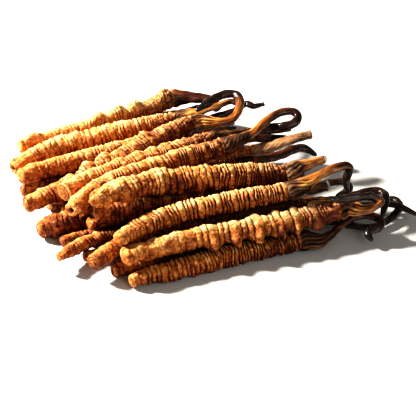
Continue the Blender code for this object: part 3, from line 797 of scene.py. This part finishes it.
class Nodes:
    """A short hand for building a node tree."""

    def __init__(self, name):
        self.material = bpy.data.materials.new(name)
        self.material.use_nodes = True
        self.tree = self.material.node_tree
        self.shader = self.tree.nodes["Principled BSDF"]

    def add(self, kind, **settings):
        node = self.tree.nodes.new(kind)
        for key, value in settings.items():
            setattr(node, key, value)
        return node

    def feed(self, socket, source):
        if isinstance(source, bpy.types.NodeSocket):
            self.tree.links.new(source, socket)
        else:
            socket.default_value = source

    def attribute(self, name):
        return self.add("ShaderNodeAttribute", attribute_name=name).outputs["Fac"]

    def noise(self, scale, detail, rough):
        node = self.add("ShaderNodeTexNoise")
        self.feed(node.inputs["Vector"], self.add("ShaderNodeTexCoord").outputs["Object"])
        node.inputs["Scale"].default_value = scale
        node.inputs["Detail"].default_value = detail
        node.inputs["Roughness"].default_value = rough
        return node.outputs["Fac"]

    def math(self, operation, a, b, clamp=False):
        node = self.add("ShaderNodeMath", operation=operation, use_clamp=clamp)
        self.feed(node.inputs[0], a)
        self.feed(node.inputs[1], b)
        return node.outputs[0]

    def times(self, a, b):
        return self.math("MULTIPLY", a, b)

    def blend(self, a, share, b):
        """The share of a, with the rest of b."""
        return self.math("ADD", self.times(a, share), self.times(b, round(1 - share, 3)))

    def ramp(self, value, stops):
        """Colours, or plain numbers, at stops."""
        node = self.add("ShaderNodeValToRGB")
        self.feed(node.inputs["Fac"], value)
        elements = node.color_ramp.elements
        while len(elements) < len(stops):
            elements.new(0.5)
        for element, (at, colour) in zip(elements, stops):
            element.position = at
            element.color = (*colour, 1) if isinstance(colour, tuple) else (colour, colour, colour, 1)
        return node.outputs["Color"]

    def mix(self, amount, a, b):
        node = self.add("ShaderNodeMix", data_type="RGBA")
        self.feed(node.inputs[0], amount)
        self.feed(node.inputs[6], a)
        self.feed(node.inputs[7], b if isinstance(b, bpy.types.NodeSocket) else (*b, 1))
        return node.outputs[2]

    def bump(self, height, distance, strength):
        node = self.add("ShaderNodeBump")
        node.inputs["Distance"].default_value = distance
        node.inputs["Strength"].default_value = strength
        self.feed(node.inputs["Height"], height)
        self.feed(self.shader.inputs["Normal"], node.outputs["Normal"])


def larva_material():
    """Dry skin: cream and gold on the crests, partly painted highlight; rust on the flanks, partly painted
    shade; dark brown painted shade in the creases.
    """
    n = Nodes("larva_skin")
    along = n.attribute("along")
    mottle = n.noise(420.0, 4.0, 0.6)
    fine = n.noise(2600.0, 3.0, 0.6)
    grit = n.noise(1250.0, 3.0, 0.65)
    # level: height and tone, which carry painted light and painted highlight, plus the skin's own mottling
    level = n.attribute("height")
    for source, amount in ((mottle, 0.35), (grit, 1.05), (fine, 1.0), (n.attribute("tone"), 0.45)):
        level = n.math("ADD", level, n.times(n.math("SUBTRACT", source, 0.5), amount))
    colour = n.ramp(level, [(0.10, (0.06, 0.010, 0.002)), (0.30, (0.26, 0.055, 0.007)),
                            (0.50, (0.48, 0.152, 0.022)), (0.70, (0.63, 0.260, 0.055)),
                            (0.92, (0.80, 0.52, 0.24))])

    # painted shade in the creases, deeper brown towards the head
    head = n.times(n.ramp(along, [(0.50, 0.0), (0.94, 1.0)]), n.attribute("dark"))
    deep = n.math("MULTIPLY", n.attribute("crease"), n.math("ADD", n.times(head, 1.3), 1.0), clamp=True)
    dark = n.ramp(deep, [(0.1, 0.0), (0.6, 0.7), (0.95, 0.93)])
    colour = n.mix(dark, colour, (0.075, 0.012, 0.003))

    # the head: red patches, and brown in its hollows
    reddish = n.times(n.ramp(along, [(0.72, 0.0), (0.97, 1.0)]), n.attribute("red"))
    patch = n.ramp(n.noise(700.0, 3.0, 0.6), [(0.35, 0.35), (0.65, 1.0)])
    colour = n.mix(n.times(reddish, patch), colour, (0.22, 0.040, 0.010))
    low = n.ramp(level, [(0.40, 1.0), (0.75, 0.12)])
    colour = n.mix(n.times(n.times(head, patch), low), colour, (0.035, 0.010, 0.005))

    # dark specks, and painted shade between neighbours, on the lower flanks, near the floor and on hidden
    # larvae
    speck = n.ramp(n.noise(1900.0, 2.0, 0.5), [(0.66, 0.0), (0.74, 1.0)])
    colour = n.mix(n.times(speck, 0.5), colour, (0.16, 0.045, 0.01))
    shade = n.ramp(n.attribute("shade"), [(0.32, 0.0), (0.88, 0.95)])
    colour = n.mix(shade, colour, (0.030, 0.006, 0.002))
    n.feed(n.shader.inputs["Base Color"], colour)
    n.feed(n.shader.inputs["Roughness"], n.ramp(fine, [(0.3, 0.5), (0.7, 0.72)]))
    n.feed(n.shader.inputs["Specular IOR Level"], 0.35)
    n.bump(n.math("ADD", fine, n.times(n.noise(6000.0, 2.0, 0.5), 0.5)), 0.0003, 0.8)
    return n.material


def stalk_material():
    """Hard wrinkled stalk: matte brown root, glossy amber, then rust brown to black."""
    n = Nodes("stalk_skin")
    ridge = n.attribute("ridge")
    streak = n.attribute("streak")
    brown = n.attribute("brown")
    fine = n.noise(2200.0, 3.0, 0.6)
    # the colours follow the ridge attribute: furrows darker as painted shade, ridges paler as painted
    # highlight
    black = n.ramp(ridge, [(0.2, (0.004, 0.003, 0.002)), (0.8, (0.022, 0.012, 0.008))])
    rusty = n.ramp(ridge, [(0.25, (0.012, 0.003, 0.002)), (0.55, (0.060, 0.016, 0.008)),
                           (0.9, (0.20, 0.065, 0.030))])
    black = n.mix(n.attribute("rust"), black, rusty)
    relief = n.blend(ridge, 0.6, streak)
    gold = n.ramp(relief, [(0.22, (0.05, 0.010, 0.003)), (0.45, (0.27, 0.080, 0.015)),
                           (0.62, (0.58, 0.25, 0.050)), (0.85, (0.80, 0.48, 0.17))])
    earth = n.ramp(n.blend(relief, 0.7, fine), [(0.28, (0.010, 0.004, 0.002)), (0.50, (0.050, 0.021, 0.011)),
                                                (0.80, (0.22, 0.115, 0.062))])
    colour = n.mix(n.attribute("amber"), black, gold)
    colour = n.mix(brown, colour, earth)
    paler = n.ramp(n.blend(ridge, 0.5, fine), [(0.3, (0.10, 0.040, 0.016)), (0.5, (0.38, 0.21, 0.10)),
                                               (0.75, (0.62, 0.42, 0.24))])
    colour = n.mix(n.attribute("tan"), colour, paler)
    stain = n.ramp(n.noise(380.0, 3.0, 0.55), [(0.5, 0.0), (0.7, 0.6)])
    colour = n.mix(stain, colour, (0.02, 0.008, 0.004))
    colour = n.mix(n.attribute("pale"), colour, (0.80, 0.70, 0.56))
    # painted shade between neighbours and near the floor
    shade = n.ramp(n.attribute("shade"), [(0.25, 0.0), (0.80, 0.92)])
    colour = n.mix(shade, colour, (0.012, 0.004, 0.002))
    n.feed(n.shader.inputs["Base Color"], colour)
    gloss = n.ramp(brown, [(0.0, 0.24), (1.0, 0.62)])
    rough = n.math("ADD", gloss, n.times(n.math("SUBTRACT", fine, 0.4), 0.25), clamp=True)
    n.feed(n.shader.inputs["Roughness"], rough)
    n.feed(n.shader.inputs["Specular IOR Level"], n.math("SUBTRACT", 0.55, n.times(brown, 0.42)))
    n.bump(n.math("ADD", fine, n.times(streak, 0.6)), 0.00008, 0.6)
    return n.material


def floor_material():
    n = Nodes("floor_paint")
    n.feed(n.shader.inputs["Base Color"], (0.66, 0.655, 0.64, 1))
    n.feed(n.shader.inputs["Roughness"], 0.8)
    return n.material


LARVA_MATERIAL = larva_material()
STALK_MATERIAL = stalk_material()
for number in LARVAE:
    stalk_skin(number, larva_skin(number))


# Floor, lights and camera

def add_floor():
    corners = [(x * FLOOR_HALF, y * FLOOR_HALF, 0) for x, y in ((-1, -1), (1, -1), (1, 1), (-1, 1))]
    mesh = bpy.data.meshes.new("floor")
    mesh.from_pydata(corners, [], [(0, 1, 2, 3)])
    floor = bpy.data.objects.new("floor", mesh)
    bpy.context.scene.collection.objects.link(floor)
    floor.data.materials.append(floor_material())
    floor.location.z = -FLOOR_DROP


def add_light(name, place, size, watts, colour):
    light = bpy.data.lights.new(name, "AREA")
    light.shape = "DISK"
    light.size = size
    light.energy = watts
    light.color = colour
    lamp = bpy.data.objects.new(name, light)
    lamp.location = place
    lamp.rotation_euler = (Vector(LIGHTS_AIM) - Vector(place)).to_track_quat("-Z", "Y").to_euler()
    bpy.context.scene.collection.objects.link(lamp)


def add_world():
    world = bpy.data.worlds.new("studio")
    world.use_nodes = True
    background = world.node_tree.nodes["Background"]
    background.inputs["Color"].default_value = (1.0, 0.97, 0.93, 1)
    background.inputs["Strength"].default_value = 0.14
    bpy.context.scene.world = world


def add_camera():
    turn, down = math.radians(CAMERA_TURN), math.radians(CAMERA_DOWN)
    look = Vector((math.sin(turn) * math.cos(down), math.cos(turn) * math.cos(down), -math.sin(down)))
    lens = bpy.data.cameras.new("camera")
    lens.lens = CAMERA_LENS
    lens.sensor_width = 36.0
    lens.clip_start = 0.01
    camera = bpy.data.objects.new("camera", lens)
    camera.location = (Vector(TARGET) - look * CAMERA_DISTANCE) * MM
    camera.rotation_euler = look.to_track_quat("-Z", "Y").to_euler()
    bpy.context.scene.collection.objects.link(camera)
    bpy.context.scene.camera = camera


add_floor()
add_world()
add_light("key", (-0.30, 0.29, 0.33), 0.06, 9.4, (1.0, 0.93, 0.84))
add_light("fill", (0.05, -0.60, 0.35), 0.45, 1.15, (1.0, 0.96, 0.91))
add_camera()
bpy.context.scene.view_settings.view_transform = "Standard"
bpy.context.scene.view_settings.look = "High Contrast"
